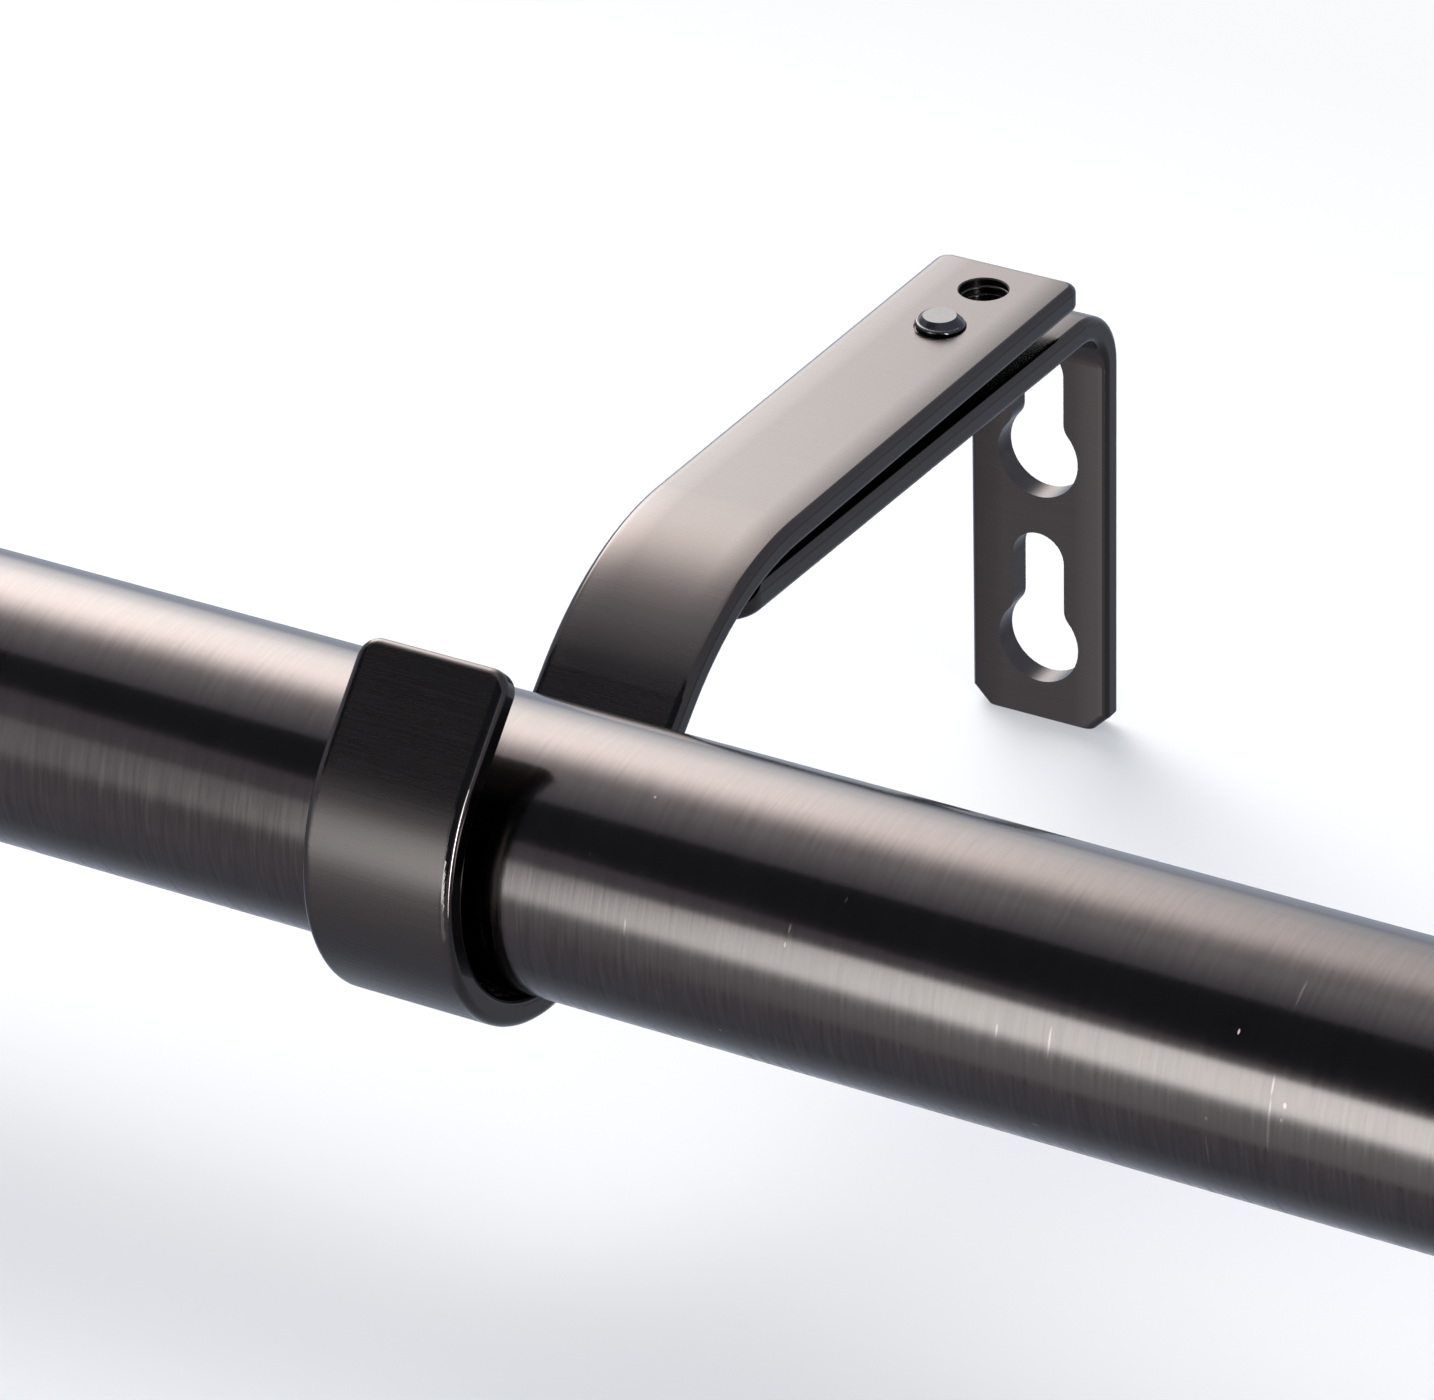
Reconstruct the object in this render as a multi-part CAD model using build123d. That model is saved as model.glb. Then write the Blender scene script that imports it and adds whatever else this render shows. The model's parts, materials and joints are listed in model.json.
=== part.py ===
"""Extendable curtain rod: two telescoping steel tubes with plain end caps, on two adjustable wall brackets.

Sizes are in millimetres. X runs along the rod to the right, Y goes into the wall and Z is up.
The origin is on the wall behind the left bracket, midway between its two keyholes.
"""

import math
import os

from build123d import *

# Rod
closed_length = 711.2  # end to end with the tubes pushed together
outer_d = 25.4
inner_d = 22.2
tube_wall = 0.6
glide_room = 29.1  # end glide to the left plug when closed

# Where the rod sits
bracket_spacing = 508.0
projection = 104.0  # wall to rod axis with the arms pushed in
projection_travel = 25.4  # how far the arms slide out along the slots
rod_height = 17.2  # rod axis above the origin

# Flat bar of both bracket pieces
bar_w = 15.0
bar_t = 2.6
bar_edge = 0.75  # rounding of the long edges

# Hook arm
arm_rise = 11.9  # top of the arm above the rod axis
arm_wall_gap = 7.6  # arm's back end to the wall
arm_corner = 1.5
arm_bend_r = 29.4  # over the top of the bend
drop_angle = 44.0
cradle_r = 14.35  # inside of the hook
cradle_gap = 0.25  # rod surface to hook where it rests
seat_lean = 20.0  # the rod rests this far behind the lowest point
lip_angle = 42.0  # lean of the hook's front leg
lip_length = 10.7
lip_corner = 2.0

# Clamp of the arm on the wall bracket
hole_to_end = 5.5  # rear tapped hole to the arm's back end
hole_pitch = 8.5  # the screw uses the front one of the two holes
thread_d = 4.6  # mean size of the M5 thread
thread_gap = 0.05
thread_chamfer = 0.12
screw_proud = 1.1  # screw's tip above the arm
screw_tip = 0.7
head_d = 9.5
head_h = 2.6
head_crown = 0.9
recess_w = 1.2
recess_span = 5.0
recess_depth = 1.6
washer_d = 9.2
washer_bore = 5.2
washer_t = 1.6
washer_seat = 0.12  # washer and screw head to the slightly tilted support, at the screw
washer_slit = 0.9
slot_w = 5.6

# Wall bracket
plate_drop = 22.4  # below the origin
plate_chamfer = 1.6
plate_bend_r = 4.4  # inside of the corner
support_tilt = 1.1  # the support rises towards its front end
support_corner = 4.0
tuck_gap = 0.15  # support's front end to the underside of the arm's bend
nose_length = 5.0  # ground down at the front end of the support, to go under that bend
keyhole_pitch = 20.4
keyhole_d = 8.7
keyhole_slot_w = 5.6
keyhole_run = 9.2  # head opening to slot end, centre to centre
keyhole_shoulder = 2.0

# Bearings between the tubes
slide_gap = 0.1
push_gap = 0.05
bush_depth = 14.0
bush_flange = 1.6
glide_head = 8.0
glide_spigot = 12.0
glide_wall = 1.2
close_gap = 0.3  # right cap to the bush when closed

# End caps
cap_d = 28.6
cap_length = 24.0
cap_cover = 10.0  # tube inside the cap
cap_gap = 0.15
cap_seat = 0.2  # tube end to the cap's floor
cap_round = 1.5
plug_length = 16.0
plug_rib = 0.8
plug_ribs = 3
stud_d = 5.4  # mean size of the M6 thread
stud_in_plug = 12.0
stud_in_cap = 8.0
stud_room = 1.0  # drilled deeper than the stud reaches

# Worked out from the sizes above
outer_bore = outer_d - 2 * tube_wall
inner_bore = inner_d - 2 * tube_wall
cap_beyond = cap_length - cap_cover + cap_seat
rod_left = (bracket_spacing - closed_length) / 2
outer_left = rod_left + cap_beyond
outer_right = rod_left + closed_length - cap_length - close_gap - bush_flange
inner_right = rod_left + closed_length - cap_beyond
inner_left = outer_left + plug_length + glide_room + glide_head
arm_top = rod_height + arm_rise
arm_under = arm_top - bar_t
tilt = math.radians(support_tilt)
support_top = arm_under - washer_t - washer_seat  # at the screw
support_under = support_top - bar_t / math.cos(tilt)
arm_back = -arm_wall_gap
rear_hole_y = arm_back - hole_to_end
screw_y = rear_hole_y - hole_pitch


def polar(centre, radius, degrees):
    """Point at a radius and an angle from a centre, both in the bracket's side view."""
    a = math.radians(degrees)
    return (centre[0] + radius * math.cos(a), centre[1] + radius * math.sin(a))


def turned(*points):
    """Solid of revolution about X from (x, radius) points in order round its half section."""
    return revolve(make_face(Polyline(*points, close=True)), Axis.X)


def bent_bar(path):
    """Flat bar swept along the middle line of its thickness, in the bracket's side view."""
    line = Plane.YZ * path
    section = Plane(line @ 0, x_dir=(1, 0, 0), z_dir=line % 0) * Rectangle(bar_w, bar_t)
    return sweep(section, line)


def through_edges(bar, y, z, reach):
    """Corner edges through the bar's thickness, near a point of the side view."""
    near = [e for e in bar.edges() if abs(e.center().Y - y) < reach and abs(e.center().Z - z) < reach]
    return [e for e in near if abs(e.length - bar_t) < 0.01 and abs(e.center().X) > bar_w / 2 - 0.01]


def soften(bar):
    """Rounds the outline of both broad sides and leaves the lines across the bar alone."""
    across = [e for e in bar.edges() if abs(e.tangent_at(0).X) < 0.01 and abs(e.length - bar_t) < 0.01]
    across += bar.edges().filter_by(Axis.X)
    return fillet([e for e in bar.edges() if e not in across], bar_edge)


# Side view of the hook arm, with the bar's middle line half a thickness below its top
rod_point = (-projection, rod_height)
lean = cradle_r - outer_d / 2 - cradle_gap
cradle_at = polar(rod_point, lean, 90 + seat_lean)
bend_r = arm_bend_r - bar_t / 2
middle_r = cradle_r + bar_t / 2
middle_z = arm_top - bar_t / 2
drop_start = polar(cradle_at, middle_r, drop_angle - 90)
drop_sin = math.sin(math.radians(drop_angle))
drop_cos = math.cos(math.radians(drop_angle))
bend_z = middle_z - bend_r
# The drop runs down from the bend's end to the cradle along one straight tangent
rise = bend_z + bend_r * drop_cos - drop_start[1]
bend_y = drop_start[0] + rise * drop_cos / drop_sin + bend_r * drop_sin
bend_at = (bend_y, bend_z)
bend_under_r = arm_bend_r - bar_t


def hook_arm(x):
    """Arm that is bent down at its front and round into the tilted hook that carries the rod."""
    bend_end = polar(bend_at, bend_r, 90 + drop_angle)
    lip_start = polar(cradle_at, middle_r, 180 - lip_angle)
    lip_end = polar(lip_start, lip_length, 90 - lip_angle)
    cradle_low = polar(cradle_at, middle_r, 225)
    path = (
        Line((arm_back, middle_z), (bend_y, middle_z))
        + ThreePointArc((bend_y, middle_z), polar(bend_at, bend_r, 90 + drop_angle / 2), bend_end)
        + Line(bend_end, drop_start)
        + ThreePointArc(drop_start, cradle_low, lip_start)
        + Line(lip_start, lip_end)
    )
    bar = bent_bar(path)
    bar = fillet(through_edges(bar, arm_back, middle_z, bar_t), arm_corner)
    bar = fillet(through_edges(bar, *lip_end, bar_t), lip_corner)
    bar = soften(bar)
    for y in (screw_y, rear_hole_y):
        bar -= Pos(0, y, middle_z) * Cylinder(thread_d / 2 + thread_gap, 2 * bar_t)
        sink = thread_d / 2 + thread_gap + thread_chamfer
        bar -= Pos(0, y, arm_top - thread_chamfer / 2) * Cone(sink - thread_chamfer, sink, thread_chamfer)
        bar -= Pos(0, y, arm_under + thread_chamfer / 2) * Cone(sink, sink - thread_chamfer, thread_chamfer)
    return Pos(x, 0, 0) * bar


def keyhole():
    """Outline of one keyhole about its middle, with the wide opening at the bottom."""
    height = keyhole_d / 2 + keyhole_run + keyhole_slot_w / 2
    head_z = keyhole_d / 2 - height / 2
    end_z = head_z + keyhole_run
    hole = Pos(0, head_z) * Circle(keyhole_d / 2)
    hole += Pos(0, (head_z + end_z) / 2) * Rectangle(keyhole_slot_w, keyhole_run)
    hole += Pos(0, end_z) * Circle(keyhole_slot_w / 2)
    shoulder_z = head_z + math.sqrt(keyhole_d**2 - keyhole_slot_w**2) / 2
    shoulders = [v for v in hole.vertices() if abs(v.Y - shoulder_z) < 0.01]
    return fillet(shoulders, keyhole_shoulder)


def past_bend():
    """Room that the arm's bend and the gap under it take, in front of where the bend starts."""
    block = Pos(0, bend_y - arm_bend_r, bend_z + arm_bend_r) * Box(2 * bar_w, 2 * arm_bend_r, 2 * arm_bend_r)
    return block - Pos(0, bend_y, bend_z) * Rot(0, 90, 0) * Cylinder(bend_under_r - tuck_gap, 3 * bar_w)


def wall_bracket(x):
    """Angle of flat bar: a plate with two keyholes on the wall and a slotted support under the arm."""
    # The support's top meets the gap under the arm's bend here, and its nose goes on from there
    reach = support_top - bend_z + (screw_y - bend_y) * math.tan(tilt)
    dip = math.acos(reach * math.cos(tilt) / (bend_under_r - tuck_gap)) - tilt
    front = bend_y - (bend_under_r - tuck_gap) * math.sin(dip) - nose_length
    # Middle line of the bar, which passes the screw's axis at bar_z
    bar_z = (support_top + support_under) / 2
    front_z = bar_z + (screw_y - front) * math.tan(tilt)
    corner_r = plate_bend_r + bar_t / 2
    wall_y = -bar_t / 2
    corner_y = wall_y - corner_r
    corner_z = bar_z - (corner_r + (corner_y - screw_y) * math.sin(tilt)) / math.cos(tilt)
    corner_at = (corner_y, corner_z)
    bend_start = polar(corner_at, corner_r, 90 - support_tilt)
    bend_middle = polar(corner_at, corner_r, 45)
    path = (
        Line((front, front_z), bend_start)
        + ThreePointArc(bend_start, bend_middle, (wall_y, corner_z))
        + Line((wall_y, corner_z), (wall_y, -plate_drop))
    )
    bar = bent_bar(path)
    bar = fillet(through_edges(bar, front, front_z, bar_t), support_corner)
    bar = chamfer(through_edges(bar, wall_y, -plate_drop, bar_t), plate_chamfer)
    bar = soften(bar) - past_bend()
    slot = extrude(Rot(0, 0, 90) * SlotCenterToCenter(projection_travel, slot_w), 3 * bar_t)
    bar -= Pos(0, screw_y - projection_travel / 2, support_under - bar_t) * slot
    for z in (-keyhole_pitch / 2, keyhole_pitch / 2):
        bar -= extrude(Plane((0, bar_t, z), x_dir=(1, 0, 0), z_dir=(0, -1, 0)) * keyhole(), 3 * bar_t)
    return Pos(x, 0, 0) * bar


def clamp_screw(x):
    """Pan head screw from below, through the slot and the washer into the arm's front tapped hole."""
    r = thread_d / 2
    under = support_under - washer_seat
    tip = arm_top + screw_proud
    section = Polyline(
        (0, under - head_h),
        (head_d / 2 - head_crown, under - head_h),
        (head_d / 2, under - head_h + head_crown),
        (head_d / 2, under),
        (r, under),
        (r, tip - screw_tip),
        (r - screw_tip, tip),
        (0, tip),
        close=True,
    )
    screw = revolve(Plane.XZ * make_face(section), Axis.Z)
    for turn in (0, 90):
        screw -= Pos(0, 0, under - head_h) * Rot(0, 0, turn) * Box(recess_span, recess_w, 2 * recess_depth)
    return Pos(x, screw_y, 0) * screw


def lock_washer(x):
    """Split ring between the arm and the support."""
    ring = Cylinder(washer_d / 2, washer_t) - Cylinder(washer_bore / 2, washer_t)
    ring -= Pos(-washer_d / 2, 0, 0) * Rot(0, 30, 0) * Box(washer_d, 2 * washer_slit, 2 * washer_t)
    return Pos(x, screw_y, arm_under - washer_t / 2) * ring


def on_rod(solid):
    """Moves a solid from the X axis to the rod's axis."""
    return Pos(0, -projection, rod_height) * solid


def tube(left, right, diameter):
    r = diameter / 2
    return turned((left, r - tube_wall), (right, r - tube_wall), (right, r), (left, r))


def mouth_bush():
    """Plastic bearing pushed into the outer tube's mouth, which the inner tube slides in."""
    bore = inner_d / 2 + slide_gap
    body = outer_bore / 2 - push_gap
    start = outer_right - bush_depth
    end = outer_right + bush_flange
    flange = [(end, bore), (end, outer_d / 2), (outer_right, outer_d / 2), (outer_right, body)]
    return turned((start, bore), *flange, (start, body))


def end_glide():
    """Plastic plug in the hidden end of the inner tube, whose head keeps that end centred."""
    head = outer_bore / 2 - slide_gap
    spigot = inner_bore / 2 - push_gap
    hollow = spigot - glide_wall
    start = inner_left - glide_head
    end = inner_left + glide_spigot
    outside = [(end, spigot), (inner_left, spigot), (inner_left, head), (start, head)]
    return turned((start, hollow), (end, hollow), *outside)


def cap_plug(tube_end, outwards, bore):
    """Ribbed plastic plug in a tube's end, which holds the cap's stud."""
    r = bore / 2 - push_gap
    hole = stud_d / 2 + thread_gap
    groove = plug_length / (2 * plug_ribs + 1)
    points = [(0, hole), (0, r)]
    for i in range(plug_ribs):
        start = (2 * i + 1) * groove
        points += [(start, r), (start, r - plug_rib), (start + groove, r - plug_rib), (start + groove, r)]
    points += [(plug_length, r), (plug_length, hole)]
    return turned(*[(tube_end - outwards * x, y) for x, y in points])


def cap_stud(tube_end, outwards):
    """Threaded stud that joins a plug and its cap."""
    ends = tube_end - outwards * stud_in_plug, tube_end + outwards * (cap_seat + stud_in_cap)
    r = stud_d / 2
    return turned((min(ends), 0), (max(ends), 0), (max(ends), r), (min(ends), r))


def end_cap(tube_end, outwards, tube_d):
    """Plain turned cap that covers a tube's end."""
    floor = cap_seat
    mouth = cap_seat - cap_cover
    end = mouth + cap_length
    socket = tube_d / 2 + cap_gap
    hole = stud_d / 2 + thread_gap
    drilled = cap_seat + stud_in_cap + stud_room
    r = cap_d / 2
    inside = [(mouth, socket), (floor, socket), (floor, hole), (drilled, hole), (drilled, 0)]
    outside = [(end, 0), (end, r), (mouth, r)]
    cap = turned(*[(tube_end + outwards * x, y) for x, y in inside + outside])
    rims = [e for e in cap.edges().filter_by(GeomType.CIRCLE) if abs(e.radius - r) < 0.01]
    face_x = tube_end + outwards * end
    return fillet([e for e in rims if abs(e.center().X - face_x) < 0.01], cap_round)


parts = {
    "outer_tube": on_rod(tube(outer_left, outer_right, outer_d)),
    "inner_tube": on_rod(tube(inner_left, inner_right, inner_d)),
    "mouth_bush": on_rod(mouth_bush()),
    "end_glide": on_rod(end_glide()),
}
for side, x in (("left", 0), ("right", bracket_spacing)):
    parts[f"{side}_wall_bracket"] = wall_bracket(x)
    parts[f"{side}_hook_arm"] = hook_arm(x)
    parts[f"{side}_clamp_screw"] = clamp_screw(x)
    parts[f"{side}_lock_washer"] = lock_washer(x)
for side, end, outwards, size in (("left", outer_left, -1, outer_d), ("right", inner_right, 1, inner_d)):
    parts[f"{side}_cap_plug"] = on_rod(cap_plug(end, outwards, size - 2 * tube_wall))
    parts[f"{side}_cap_stud"] = on_rod(cap_stud(end, outwards))
    parts[f"{side}_end_cap"] = on_rod(end_cap(end, outwards, size))

os.makedirs("parts", exist_ok=True)
for name, shape in parts.items():
    export_step(shape, f"parts/{name}.step")
    print(name, round(shape.volume), "mm3")
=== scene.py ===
import json
import math

import bpy
from mathutils import Matrix, Quaternion, Vector


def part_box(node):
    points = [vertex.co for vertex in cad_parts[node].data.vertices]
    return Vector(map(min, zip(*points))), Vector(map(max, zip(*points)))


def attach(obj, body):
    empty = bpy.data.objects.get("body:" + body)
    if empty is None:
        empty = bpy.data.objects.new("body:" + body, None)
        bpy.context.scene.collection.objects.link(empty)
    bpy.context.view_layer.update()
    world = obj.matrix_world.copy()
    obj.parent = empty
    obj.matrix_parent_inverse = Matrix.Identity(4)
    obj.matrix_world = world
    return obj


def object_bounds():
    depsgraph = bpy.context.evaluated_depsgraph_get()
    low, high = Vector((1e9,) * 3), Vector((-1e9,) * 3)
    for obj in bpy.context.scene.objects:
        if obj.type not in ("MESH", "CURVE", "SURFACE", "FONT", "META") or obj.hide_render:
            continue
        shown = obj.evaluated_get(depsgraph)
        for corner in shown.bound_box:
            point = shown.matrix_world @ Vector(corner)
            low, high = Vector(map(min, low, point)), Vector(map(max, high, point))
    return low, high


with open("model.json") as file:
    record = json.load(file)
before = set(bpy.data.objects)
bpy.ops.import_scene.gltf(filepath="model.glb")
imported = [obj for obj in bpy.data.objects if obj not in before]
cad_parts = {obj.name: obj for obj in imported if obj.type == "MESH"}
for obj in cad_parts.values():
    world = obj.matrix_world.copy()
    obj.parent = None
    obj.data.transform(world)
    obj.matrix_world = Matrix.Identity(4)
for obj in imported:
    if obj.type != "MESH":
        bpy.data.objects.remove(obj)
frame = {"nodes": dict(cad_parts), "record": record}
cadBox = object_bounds()
print("frame loaded with", len(frame["nodes"]), "nodes")

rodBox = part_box("outer_tube")
rodAxis = Vector((0.0, (rodBox[0][1] + rodBox[1][1]) / 2, (rodBox[0][2] + rodBox[1][2]) / 2))
rodRadius = (rodBox[1][2] - rodBox[0][2]) / 2
rightBar = sum(corner[0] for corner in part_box("right_wall_bracket")) / 2


class Wire:
    # A socket that takes part in arithmetic: each operator adds one Math node
    def __init__(self, tree, socket):
        self.tree = tree
        self.socket = socket

    def maths(self, operation, *values):
        node = self.tree.nodes.new("ShaderNodeMath")
        node.operation = operation
        for place, value in enumerate(values):
            if isinstance(value, Wire):
                self.tree.links.new(value.socket, node.inputs[place])
            else:
                node.inputs[place].default_value = value
        return Wire(self.tree, node.outputs[0])

    def __add__(self, other):
        return self.maths("ADD", self, other)

    def __radd__(self, other):
        return self.maths("ADD", other, self)

    def __sub__(self, other):
        return self.maths("SUBTRACT", self, other)

    def __rsub__(self, other):
        return self.maths("SUBTRACT", other, self)

    def __mul__(self, other):
        return self.maths("MULTIPLY", self, other)

    def __rmul__(self, other):
        return self.maths("MULTIPLY", other, self)

    def __truediv__(self, other):
        return self.maths("DIVIDE", self, other)

    def most(self, other):
        return self.maths("MAXIMUM", self, other)

    def least(self, other):
        return self.maths("MINIMUM", self, other)

    def clamped(self):
        return self.most(0.0).least(1.0)

    def absolute(self):
        return self.maths("ABSOLUTE", self)


class NodeTree:
    # Adds nodes to one tree: settings first, then what goes into the sockets
    def __init__(self, tree):
        self.tree = tree
        tree.nodes.clear()

    def add(self, kind, settings=None, sockets=None, result=0):
        node = self.tree.nodes.new(kind)
        for name, value in (settings or {}).items():
            if name == "stops":
                self.setStops(node.color_ramp, value)
            else:
                setattr(node, name, value)
        for name, value in (sockets or {}).items():
            if isinstance(value, Wire):
                self.tree.links.new(value.socket, node.inputs[name])
            else:
                node.inputs[name].default_value = value
        return Wire(self.tree, node.outputs[result]) if node.outputs else node

    def setStops(self, ramp, stops):
        while len(ramp.elements) < len(stops):
            ramp.elements.new(1.0)
        for element, (place, level) in zip(ramp.elements, stops):
            element.position = place
            element.color = (level, level, level, 1.0)

    def split(self, vector):
        parts = self.add("ShaderNodeSeparateXYZ", {}, {0: vector})
        return [Wire(self.tree, socket) for socket in parts.socket.node.outputs]

    def blend(self, share, start, end):
        # Colour from start to end, each a plain tint or a socket. The node's colour sockets are 6, 7 and 2
        start, end = [tint if isinstance(tint, Wire) else (*tint, 1.0) for tint in (start, end)]
        return self.add("ShaderNodeMix", {"data_type": "RGBA"}, {0: share, 6: start, 7: end}, 2)


def newMaterial(name):
    material = bpy.data.materials.new(name)
    material.use_nodes = True
    return material, NodeTree(material.node_tree)


noiseMiddle = 0.5  # the noise swings round this


def stretchedNoise(nodes, stretch, detail=3.0, rough=0.6):
    place = nodes.add("ShaderNodeTexCoord", result="Object")
    place = nodes.add("ShaderNodeMapping", {}, {"Vector": place, "Scale": stretch})
    return nodes.add("ShaderNodeTexNoise", {}, {
        "Vector": place, "Scale": 1.0, "Detail": detail, "Roughness": rough})


# Dark nickel metal, drawn over an abrasive belt: the strokes run where stretch is small
brushedBar = {
    "stretch": (90.0, 5200.0, 5200.0),  # strokes across the flat bar
    "tint": (0.038, 0.033, 0.0318),
    "strokeTint": (0.045, 0.0393, 0.0377),
    "roughness": 0.27,
    "strokeRoughness": 0.08,
    "strokeDepth": 0.000001,
}
# The bar's faces sink a little towards its long edges, but not on the hook, and the edges are polished
barRoll = {
    "from": 0.0038,  # half the width of the flat middle
    "depth": 20.0,
    "hookAt": 0.02,  # this far behind the rod's axis they start to sink, fully at twice as far
    "edge": 0.0064,  # from the bar's middle line to where the polish starts
    "edgeFade": 0.0004,
    "smoother": 0.19,
}

brushedTube = {
    "stretch": (2400.0, 170.0, 170.0),  # short strokes round the tube
    "tint": (0.033, 0.0285, 0.028),
    "strokeTint": (0.057, 0.0495, 0.048),
    "roughness": 0.15,
    "strokeRoughness": 0.7,
    "strokeDepth": 0.0000022,
}
# Its strokes show fully on the lower half, and only a share of them on top
tubeStrokes = {
    "from": 0.0035,  # height above the tube's axis where they start to show more
    "over": 0.006,  # how far below that they show fully
    "least": 0.12,
    "contrast": 1.0,
}

turnedCap = {
    "stretch": (5200.0, 60.0, 60.0),
    "tint": (0.038, 0.033, 0.032),
    "strokeTint": (0.052, 0.045, 0.043),
    "roughness": 0.2,
    "strokeRoughness": 0.16,
    "strokeDepth": 0.0000015,
}

# Broad faint clouds in all three, and the smoothest that any spot gets
metalClouds = {
    "size": 55.0,
    "detail": 2.0,
    "rough": 0.5,
    "share": 0.3,
    "roughness": 0.05,
    "smoothest": 0.05,
}

# Small marks of wear on the tube. Their pale tint and lower metallic make them light up as pale dots, which
# are painted highlights standing in for glints of the lamps off their facets. Each row is a mark's place
# along the rod, its angle round the rod with 90 on top, its length round the rod, its width along it and
# its strength
tubeWearAndGlints = {
    # pale peach of the marks: a painted glint, lit as a matt spot
    "tint": (0.62, 0.47, 0.42),
    "metallic": 0.5,
    "core": 1.6,  # above 1, the middle of a mark has its full strength and only its rim is soft
    "places": [
        (0.02097, 114.0, 0.0003, 0.00025, 0.22),
        (0.01737, 143.2, 0.0004, 0.00025, 0.16),
        (0.02198, 167.3, 0.0019, 0.00025, 0.05),
        (0.03726, 156.5, 0.0006, 0.00025, 0.06),
        (0.03738, 150.0, 0.0010, 0.00022, 0.16),
        (0.04164, 133.8, 0.0006, 0.00022, 0.20),
        (0.05782, 166.4, 0.0014, 0.00022, 0.05),
        (0.06275, 165.6, 0.0033, 0.00025, 0.05),
        (0.07913, 141.9, 0.0006, 0.00025, 1.00),
        (0.08308, 121.6, 0.0028, 0.00022, 0.08),
        (0.08318, 157.6, 0.0020, 0.00022, 0.05),
        (0.08322, 173.7, 0.0054, 0.00031, 0.05),
        (0.08452, 164.0, 0.0006, 0.00037, 0.06),
        (0.08434, 170.0, 0.0004, 0.00025, 0.06),
        (0.07757, 177.9, 0.0004, 0.00031, 0.06),
        (0.07752, 192.3, 0.0036, 0.00022, 0.05),
        (0.06080, 208.2, 0.0003, 0.00087, 0.13),
        (0.03063, 204.9, 0.0003, 0.00031, 0.16),
        (0.07739, 72.7, 0.0003, 0.00025, 0.20),
    ],
}


# Mask of the tube's wear marks, which also carry painted glints
def tubeWearAndGlintMask(nodes):
    along, across, height = nodes.split(nodes.add("ShaderNodeTexCoord", result="Object"))
    height = height - rodAxis.z
    turn = height.maths("ARCTAN2", height, across - rodAxis.y)
    turn = turn.maths("WRAP", turn, 2 * math.pi, 0.0)
    wearAndGlint = None
    for place, angle, length, width, strength in tubeWearAndGlints["places"]:
        aside = (along - place) * (2 / width)
        ahead = (turn - math.radians(angle)) * (2 * rodRadius / length)
        spot = (1 - (aside * aside + ahead * ahead)) * (tubeWearAndGlints["core"] * strength)
        spot = spot.least(strength)
        wearAndGlint = spot if wearAndGlint is None else wearAndGlint.most(spot)
    return wearAndGlint.most(0.0)


def strokesShow(nodes):
    # 1 where the tube's strokes show fully
    height = nodes.split(nodes.add("ShaderNodeTexCoord", result="Object"))[2]
    shown = (rodAxis.z + tubeStrokes["from"] - height) / tubeStrokes["over"]
    return shown.most(tubeStrokes["least"]).least(1.0)


def rolledEdges(nodes):
    # How far the face sinks at each place, and 1 on the polished edges
    along, across, _ = nodes.split(nodes.add("ShaderNodeTexCoord", result="Object"))
    aside = (along - rightBar / 2).absolute() - rightBar / 2  # both bars at once
    aside = aside.absolute()
    inside = (aside - barRoll["from"]).most(0.0)
    behind = ((across - rodAxis.y) / barRoll["hookAt"] - 1).clamped()
    polished = ((aside - barRoll["edge"]) / barRoll["edgeFade"]).clamped()
    return inside * inside * behind * barRoll["depth"], polished


def brushedFinish(name, look, wearAndGlintMarks=None, rolled=False):
    material, nodes = newMaterial(name)
    strokes = stretchedNoise(nodes, look["stretch"])
    clouds = stretchedNoise(nodes, (metalClouds["size"],) * 3, metalClouds["detail"], metalClouds["rough"])
    mixed = strokes * (1 - metalClouds["share"]) + clouds * metalClouds["share"]
    uneven = (strokes - noiseMiddle) * look["strokeRoughness"]
    if look is brushedTube:
        shown = strokesShow(nodes)
        uneven = uneven * shown
        mixed = (strokes - noiseMiddle) * shown * tubeStrokes["contrast"] + mixed
    colour = nodes.blend(mixed, look["tint"], look["strokeTint"])
    roughness = uneven + (clouds - noiseMiddle) * metalClouds["roughness"] + look["roughness"]
    height = strokes * look["strokeDepth"]
    if rolled:
        sunk, polished = rolledEdges(nodes)
        height = height - sunk
        roughness = roughness - polished * barRoll["smoother"]
    bump = nodes.add("ShaderNodeBump", {}, {"Strength": 1.0, "Distance": 1.0, "Height": height})
    sockets = {
        "Base Color": colour,
        "Roughness": roughness.most(metalClouds["smoothest"]),
        "Metallic": 1.0,
        "Normal": bump,
    }
    # wear marks blended in with a pale tint and less metal: partly real wear, partly painted glints
    if wearAndGlintMarks:
        wearAndGlint = wearAndGlintMarks(nodes)
        sockets["Base Color"] = nodes.blend(wearAndGlint, colour, tubeWearAndGlints["tint"])
        sockets["Metallic"] = 1 - wearAndGlint * (1 - tubeWearAndGlints["metallic"])
    surface = nodes.add("ShaderNodeBsdfPrincipled", {}, sockets)
    nodes.add("ShaderNodeOutputMaterial", {}, {"Surface": surface})
    return material


blackNickel = {
    "tint": (0.024, 0.0235, 0.024),
    "wornTint": (0.05, 0.049, 0.05),
    "roughness": 0.13,
    "grain": 1500.0,
    "grainDetail": 4.0,
    "grainRoughness": 0.12,
}


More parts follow.
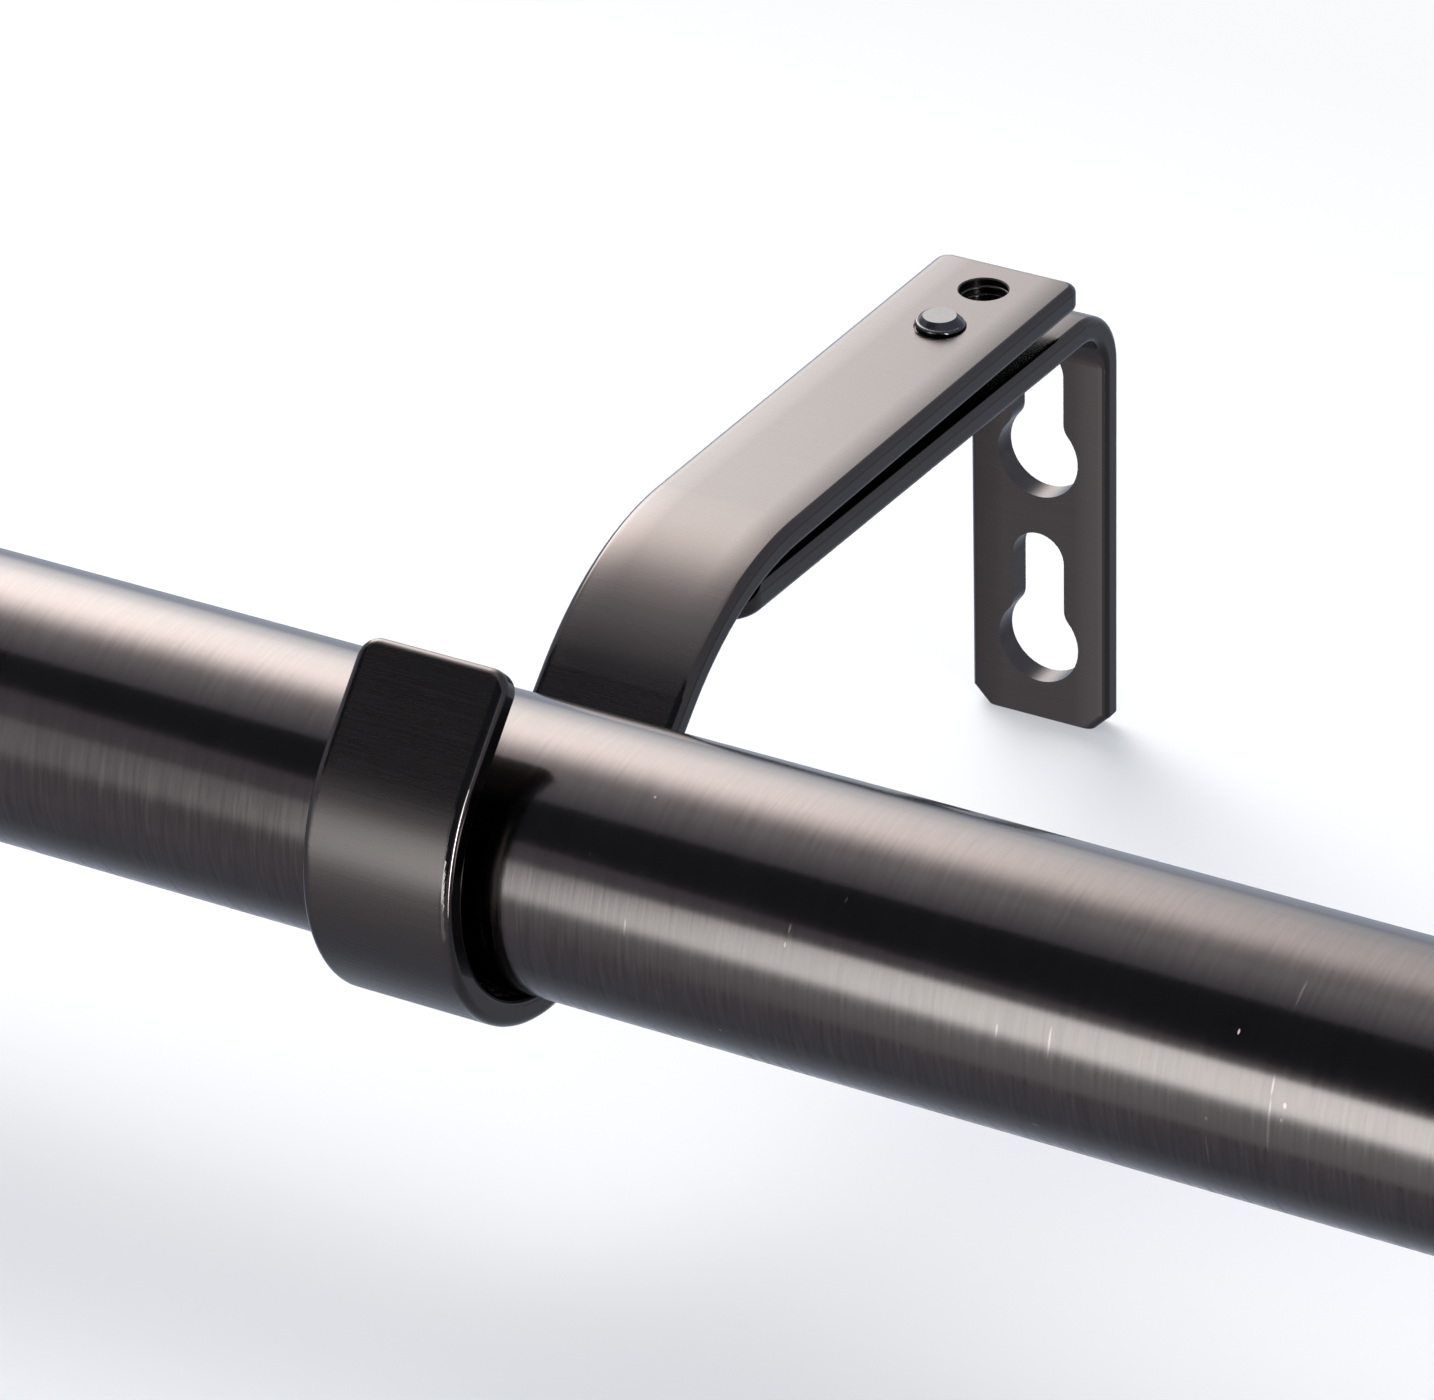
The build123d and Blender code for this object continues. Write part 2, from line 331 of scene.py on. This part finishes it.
def fastenerFinish():
    material, nodes = newMaterial("blackNickel")
    grain = stretchedNoise(nodes, (blackNickel["grain"],) * 3, blackNickel["grainDetail"])
    surface = nodes.add("ShaderNodeBsdfPrincipled", {}, {
        "Base Color": nodes.blend(grain, blackNickel["tint"], blackNickel["wornTint"]),
        "Roughness": grain * blackNickel["grainRoughness"] + blackNickel["roughness"],
        "Metallic": 1.0,
    })
    nodes.add("ShaderNodeOutputMaterial", {}, {"Surface": surface})
    return material


blackNylon = {
    "tint": (0.022, 0.022, 0.024),
    "paleTint": (0.034, 0.034, 0.036),
    "roughness": 0.5,
    "grain": 2600.0,
    "grainRoughness": 0.1,
    "grainStrength": 0.3,
    "grainDepth": 0.00003,
}


def nylonFinish():
    material, nodes = newMaterial("blackNylon")
    grain = stretchedNoise(nodes, (blackNylon["grain"],) * 3)
    bump = nodes.add("ShaderNodeBump", {}, {
        "Strength": blackNylon["grainStrength"], "Distance": blackNylon["grainDepth"], "Height": grain})
    surface = nodes.add("ShaderNodeBsdfPrincipled", {}, {
        "Base Color": nodes.blend(grain, blackNylon["tint"], blackNylon["paleTint"]),
        "Roughness": grain * blackNylon["grainRoughness"] + blackNylon["roughness"],
        "Normal": bump,
    })
    nodes.add("ShaderNodeOutputMaterial", {}, {"Surface": surface})
    return material


finishes = {
    "gunmetal_bar": brushedFinish("brushedBar", brushedBar, rolled=True),
    "gunmetal_tube": brushedFinish("brushedTube", brushedTube),
    "gunmetal_cap": brushedFinish("turnedCap", turnedCap),
    "dark_fastener": fastenerFinish(),
    "black_nylon": nylonFinish(),
}
# the outer tube carries the wear marks with their painted glints
wornTubeWithGlints = brushedFinish("wornTubeWithGlints", brushedTube, tubeWearAndGlintMask)
for part in frame["record"]["subparts"]:
    finish = wornTubeWithGlints if part["node"] == "outer_tube" else finishes[part["material_slot"]]
    node = frame["nodes"][part["node"]]
    node.data.materials.clear()
    node.data.materials.append(finish)

# Threads, on solids that stop at their mean diameter: Radius and Ridge give the middle and reach of each
# ridge. Fade is in turns at each end. Over the last length, Point, the ridge narrows to Point radius.
screwThread = {
    "Radius": 0.00224,
    "Ridge": 0.00028,
    "Pitch": 0.0008,
    "Points per turn": 40,
    "Fade": 0.3,
    "Point": 0.0006,
    "Point radius": 0.00168,
}
tappedThread = {
    "Radius": 0.0024,
    "Ridge": 0.00028,
    "Pitch": 0.0008,
    "Points per turn": 40,
    "Fade": 0.35,
    "Point": 0.0001,
    "Point radius": 0.0024,
}
studThread = {
    "Radius": 0.00262,
    "Ridge": 0.00034,
    "Pitch": 0.001,
    "Points per turn": 40,
    "Fade": 0.5,
    "Point": 0.0001,
    "Point radius": 0.00262,
}
ridgeSection = {"sides": 4, "thinnest": 0.15}  # thinnest: share of its size left at the faded ends
clampScrew = {"head": 0.0026, "plainEnd": 0.00016}  # lengths under the thread and past it
tappedBar = {
    "thickness": 0.0026,
    "rearHole": 0.0085,  # behind the screw
    "proudTip": 0.0011,  # of the screw, above the bar
}
upright = (0.0, 0.0, 0.0)
alongRod = (0.0, math.pi / 2, 0.0)


def threadTree():
    # One ridge that winds right-handed round the Z axis and fades out at both ends
    tree = bpy.data.node_groups.new("threadRidge", "GeometryNodeTree")
    inputs = {
        "Radius": "Float",
        "Pitch": "Float",
        "Turns": "Float",
        "Ridge": "Float",
        "Points per turn": "Int",
        "Fade": "Float",
        "Point": "Float",
        "Point radius": "Float",
        "Place": "Vector",
        "Turn": "Rotation",
        "Material": "Material",
    }
    for name, kind in inputs.items():
        tree.interface.new_socket(name, in_out="INPUT", socket_type="NodeSocket" + kind)
    tree.interface.new_socket("Geometry", in_out="OUTPUT", socket_type="NodeSocketGeometry")
    nodes = NodeTree(tree)
    group = nodes.add("NodeGroupInput")
    size = {name: Wire(tree, group.socket.node.outputs[name]) for name in inputs}
    height = size["Pitch"] * size["Turns"]
    path = nodes.add("GeometryNodeCurveSpiral", {}, {
        "Resolution": size["Points per turn"], "Rotations": size["Turns"], "Start Radius": size["Radius"],
        "End Radius": size["Radius"], "Height": height})
    place = nodes.add("GeometryNodeInputPosition")
    climb = nodes.split(place)[2]
    pointed = ((climb - height + size["Point"]) / size["Point"]).most(0.0)
    narrow = 1 - pointed * (1 - size["Point radius"] / size["Radius"])
    narrow = nodes.add("ShaderNodeCombineXYZ", {}, {"X": narrow, "Y": narrow, "Z": 1.0})
    place = nodes.add("ShaderNodeVectorMath", {"operation": "MULTIPLY"}, {0: place, 1: narrow})
    path = nodes.add("GeometryNodeSetPosition", {}, {"Geometry": path, "Position": place})
    path = nodes.add("GeometryNodeSetCurveNormal", {"mode": "Z_UP"}, {"Curve": path})
    factor = nodes.add("GeometryNodeSplineParameter", result="Factor")
    ends = factor.least(1 - factor) * size["Turns"] / size["Fade"]
    ends = ends.least(1.0).most(ridgeSection["thinnest"])
    section = nodes.add("GeometryNodeCurvePrimitiveCircle", {}, {
        "Resolution": ridgeSection["sides"], "Radius": size["Ridge"]})
    ridge = nodes.add("GeometryNodeCurveToMesh", {}, {
        "Curve": path, "Profile Curve": section, "Scale": ends, "Fill Caps": True})
    ridge = nodes.add("GeometryNodeTransform", {}, {
        "Geometry": ridge, "Translation": size["Place"], "Rotation": size["Turn"]})
    ridge = nodes.add("GeometryNodeRealizeInstances", {}, {"Geometry": ridge})
    ridge = nodes.add("GeometryNodeSetMaterial", {}, {"Geometry": ridge, "Material": size["Material"]})
    nodes.add("NodeGroupOutput", {}, {"Geometry": ridge})
    return tree


threadRidgeTree = threadTree()


def threadRidge(name, body, slot, sizes):
    piece = bpy.data.objects.new(name, bpy.data.meshes.new(name))
    bpy.context.collection.objects.link(piece)
    modifier = piece.modifiers.new("thread", "NODES")
    modifier.node_group = threadRidgeTree
    sizes = {**sizes, "Material": finishes[slot]}
    for item in threadRidgeTree.interface.items_tree:
        if item.in_out == "INPUT":
            modifier[item.identifier] = sizes[item.name]
    evaluated = piece.evaluated_get(bpy.context.evaluated_depsgraph_get())
    plain = bpy.data.meshes.new_from_object(evaluated)
    piece.modifiers.remove(modifier)
    piece.data = plain
    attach(piece, body)


def addThreads(side, body, studBody):
    low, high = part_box(f"{side}_clamp_screw")
    x, y = (low[0] + high[0]) / 2, (low[1] + high[1]) / 2
    length = high[2] - low[2] - clampScrew["head"] - clampScrew["plainEnd"]
    threadRidge(f"{side}_clamp_screw_thread", body, "dark_fastener", {
        **screwThread,
        "Turns": length / screwThread["Pitch"],
        "Place": (x, y, low[2] + clampScrew["head"]),
        "Turn": upright,
    })
    barUnder = high[2] - tappedBar["proudTip"] - tappedBar["thickness"]
    edge = tappedThread["Ridge"]
    threadRidge(f"{side}_tapped_hole_thread", body, "gunmetal_bar", {
        **tappedThread,
        "Turns": (tappedBar["thickness"] - 2 * edge) / tappedThread["Pitch"],
        "Place": (x, y + tappedBar["rearHole"], barUnder + edge),
        "Turn": upright,
    })
    low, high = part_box(f"{side}_cap_stud")
    edge = studThread["Ridge"]
    threadRidge(f"{side}_cap_stud_thread", studBody, "dark_fastener", {
        **studThread,
        "Turns": (high[0] - low[0] - 2 * edge) / studThread["Pitch"],
        "Place": (low[0] + edge, rodAxis.y, rodAxis.z),
        "Turn": alongRod,
    })


addThreads("left", "left_arm", "left_arm")
addThreads("right", "right_arm", "inner_rod")
print("threads wound")


def raysThatShow(nodes):
    # 1 for rays that show the background: straight from the camera, off metal or through glass
    names = ("Is Camera Ray", "Is Glossy Ray", "Is Transmission Ray")
    rays = [nodes.add("ShaderNodeLightPath", {}, {}, name) for name in names]
    return rays[0].most(rays[1]).most(rays[2])


seenTint = (0.955, 0.96, 0.973)  # plain ground and studio, the same so that no horizon shows

# Pale floor under the wall plates. Where shadows fall it is matt, but for a share of plain glow that they
# don't darken, and past that it is all glow
floorLook = {
    "reach": 12.0,
    "tint": (0.545, 0.555, 0.576),
    "glow": 0.35,
    "shadowed": [(-0.25, 0.78, 0.3), (-0.4, 0.01, 0.13)],  # in x and in y: from, to and how far it fades
}


def makeFloor():
    low = cadBox[0][2]
    reach = floorLook["reach"]
    corners = [(-reach, -reach, low), (reach, -reach, low), (reach, reach, low), (-reach, reach, low)]
    mesh = bpy.data.meshes.new("floor")
    mesh.from_pydata(corners, [], [(0, 1, 2, 3)])
    floor = bpy.data.objects.new("floor", mesh)
    bpy.context.collection.objects.link(floor)
    material, nodes = newMaterial("paleFloor")
    matt = nodes.add("ShaderNodeBsdfDiffuse", {}, {"Color": (*floorLook["tint"], 1)})
    glow = nodes.add("ShaderNodeEmission", {}, {"Color": (*seenTint, 1), "Strength": 1.0})
    place = nodes.split(nodes.add("ShaderNodeTexCoord", result="Object"))
    far = 0.0
    for way, (start, end, fade) in zip(place, floorLook["shadowed"]):
        far = ((start - way) / fade).most((way - end) / fade).most(far)
    share = raysThatShow(nodes) * (far.least(1.0) * (1 - floorLook["glow"]) + floorLook["glow"])
    surface = nodes.add("ShaderNodeMixShader", {}, {0: share, 1: matt, 2: glow})
    nodes.add("ShaderNodeOutputMaterial", {}, {"Surface": surface})
    mesh.materials.append(material)
    floor.visible_glossy = False  # metal shows the pale studio below it, without the rod's own shadow


makeFloor()

# Studio round the rod: angles go round the rod's axis, 0 at the wall, 90 straight up, 180 in front.
# A soft box fades with the angle as rising says, and from its right edge to its left one as across says.
softBoxes = {
    "backBox": {
        "angle": 50.0,
        "aside": -0.62,
        "distance": 1.3,
        "size": (1.1, 2.3),
        "level": 16.4,
        "tint": (1.0, 0.96, 0.915),
        "rising": [(0.0, 0.0), (0.12, 0.1), (0.245, 0.28), (0.407, 0.76), (0.5, 0.98), (0.56, 1.0),
                   (0.63, 0.78), (0.735, 0.24), (0.8, 0.06), (0.86, 0.02), (1.0, 0.0)],
        "across": [(0.0, 0.0), (0.2, 0.33), (0.24, 0.41), (0.3, 0.58), (0.38, 0.85), (0.46, 0.96),
                   (0.5, 1.0), (0.95, 1.0), (1.0, 0.0)],
    },
    "overGlow": {
        "angle": 92.0,
        "aside": -0.55,
        "distance": 1.2,
        "size": (1.4, 0.76),
        "level": 1.3,
        "tint": (1.0, 0.98, 0.97),
        "rising": [(0.0, 0.3), (0.15, 0.7), (0.38, 1.0), (0.62, 0.7), (0.84, 0.25), (1.0, 0.0)],
        "across": [(0.36, 1.0), (0.63, 0.75)],
    },
    "frontBox": {
        "angle": 190.0,
        "aside": -0.28,
        "distance": 1.1,
        "size": (1.7, 1.4),
        "level": 14.0,
        "tint": (0.93, 1.0, 0.985),
        "rising": [(0.11, 0.0), (0.16, 1.0), (0.46, 1.0), (0.51, 0.6), (0.56, 0.2), (0.62, 0.12),
                   (0.74, 0.1), (0.9, 0.08), (1.0, 0.0)],
        "across": [(0.48, 1.0), (0.54, 0.96), (0.575, 0.84), (0.6, 0.8), (0.618, 0.68), (0.63, 0.4),
                   (0.645, 0.12), (0.67, 0.07), (0.9, 0.06), (1.0, 0.0)],
    },
    "sideBox": {
        "angle": 180.0,
        "aside": 2.15,
        "distance": 1.2,
        "size": (0.16, 1.2),
        "level": 85.0,
        "tint": (1.0, 1.0, 1.0),
        "rising": [(0.0, 0.15), (0.3, 0.8), (0.45, 1.0), (0.65, 0.8), (0.85, 0.35), (1.0, 0.2)],
        "across": [(0.0, 1.0), (1.0, 1.0)],
    },
}
darkCard = {
    "angle": 134.0,
    "aside": -0.3,
    "distance": 0.6,
    "outline": [(0.45, -0.225), (-1.1, 1.36), (-1.1, -0.225)],  # in its own plane
    "tint": (0.09, 0.1, 0.115),
}
# What metal mirrors between the soft boxes. From rear to front the tint changes over a stretch of the
# direction's Y, and the levels below hold fully where its Z is under belowFull
surroundings = {
    "rearTint": (0.87, 0.94, 1.1),
    "frontTint": (0.94, 0.94, 1.06),
    "frontFrom": -0.2,
    "frontOver": 0.4,
    "rearBelowLevel": 0.58,
    "frontBelowLevel": 1.0,
    "belowFull": -0.3,
    "diffuseLevel": 0.7,  # of its light on matt surfaces
}


def aroundRod(card):
    # Place and turn of a card that faces the left bracket's stretch of rod, upright along the angle
    angle = math.radians(card["angle"])
    away = Vector((card["aside"], math.cos(angle), math.sin(angle))).normalized()
    rising = Vector((0.0, -math.sin(angle), math.cos(angle)))
    turn = Matrix((rising.cross(away), rising, away)).transposed()
    return rodAxis + away * card["distance"], turn.to_quaternion()


def makeSoftBox(name, card):
    lamp = bpy.data.lights.new(name, "AREA")
    lamp.shape = "RECTANGLE"
    lamp.size, lamp.size_y = card["size"]
    lamp.energy = math.pi * card["level"] * lamp.size * lamp.size_y
    lamp.color = card["tint"]
    lamp.use_nodes = True
    nodes = NodeTree(lamp.node_tree)
    across, rising, _ = nodes.split(nodes.add("ShaderNodeNewGeometry", result="Parametric"))
    across = nodes.add("ShaderNodeValToRGB", {"stops": card["across"]}, {"Fac": across})
    rising = nodes.add("ShaderNodeValToRGB", {"stops": card["rising"]}, {"Fac": rising})
    light = nodes.add("ShaderNodeEmission", {}, {"Strength": across * rising})
    nodes.add("ShaderNodeOutputLight", {}, {"Surface": light})
    box = bpy.data.objects.new(name, lamp)
    box.rotation_mode = "QUATERNION"
    box.location, box.rotation_quaternion = aroundRod(card)
    box.visible_camera = False
    bpy.context.collection.objects.link(box)


def makeDarkCard():
    place, turn = aroundRod(darkCard)
    corners = [place + turn @ Vector((x, y, 0)) for x, y in darkCard["outline"]]
    mesh = bpy.data.meshes.new("darkCard")
    mesh.from_pydata(corners, [], [tuple(range(len(corners)))])
    board = bpy.data.objects.new("darkCard", mesh)
    bpy.context.collection.objects.link(board)
    material, nodes = newMaterial("darkCard")
    surface = nodes.add("ShaderNodeBsdfPrincipled", {}, {
        "Base Color": (*darkCard["tint"], 1), "Roughness": 1.0, "Specular IOR Level": 0.0})
    nodes.add("ShaderNodeOutputMaterial", {}, {"Surface": surface})
    mesh.materials.append(material)
    board.visible_camera = False


def makeWorld():
    world = bpy.data.worlds.new("studio")
    world.use_nodes = True
    nodes = NodeTree(world.node_tree)
    _, backwards, upwards = nodes.split(nodes.add("ShaderNodeTexCoord", result="Generated"))
    front = ((surroundings["frontFrom"] - backwards) / surroundings["frontOver"]).clamped()
    mirrored = nodes.add("ShaderNodeLightPath", {}, {}, "Is Glossy Ray")
    below = (upwards / surroundings["belowFull"]).clamped() * mirrored
    rearLevel, frontLevel = surroundings["rearBelowLevel"], surroundings["frontBelowLevel"]
    belowLevel = front * (frontLevel - rearLevel) + rearLevel
    level = raysThatShow(nodes) * (1 - surroundings["diffuseLevel"]) + surroundings["diffuseLevel"]
    level = level * (1 - below * (1 - belowLevel))
    seen = nodes.add("ShaderNodeLightPath", {}, {}, "Is Camera Ray")
    tint = nodes.blend(front, surroundings["rearTint"], surroundings["frontTint"])
    tint = nodes.blend(seen, tint, seenTint)
    light = nodes.add("ShaderNodeBackground", {}, {"Color": tint, "Strength": level})
    nodes.add("ShaderNodeOutputWorld", {}, {"Surface": light})
    bpy.context.scene.world = world


for name, card in softBoxes.items():
    makeSoftBox(name, card)
makeDarkCard()
makeWorld()
print("studio lit")

# Camera as in the photograph: places in metres, roll in degrees, lens and sensor in millimetres
view = {
    "eye": (0.35663, -0.65708, 0.40114),
    "target": (-0.00215, -0.06009, 0.00759),
    "roll": -1.453,
    "lens": 219.77,
    "sensor": 36.0,
    "reach": 100.0,
}


def makeCamera():
    camera = bpy.data.objects.new("camera", bpy.data.cameras.new("camera"))
    bpy.context.collection.objects.link(camera)
    eye = Vector(view["eye"])
    look = Vector(view["target"]) - eye
    roll = Quaternion((0, 0, 1), math.radians(view["roll"]))
    camera.rotation_mode = "QUATERNION"
    camera.location = eye
    camera.rotation_quaternion = look.to_track_quat("-Z", "Y") @ roll
    camera.data.lens = view["lens"]
    camera.data.sensor_width = view["sensor"]
    camera.data.clip_end = view["reach"]
    bpy.context.scene.camera = camera


makeCamera()
bpy.context.scene.view_settings.view_transform = "Standard"
print("camera placed")
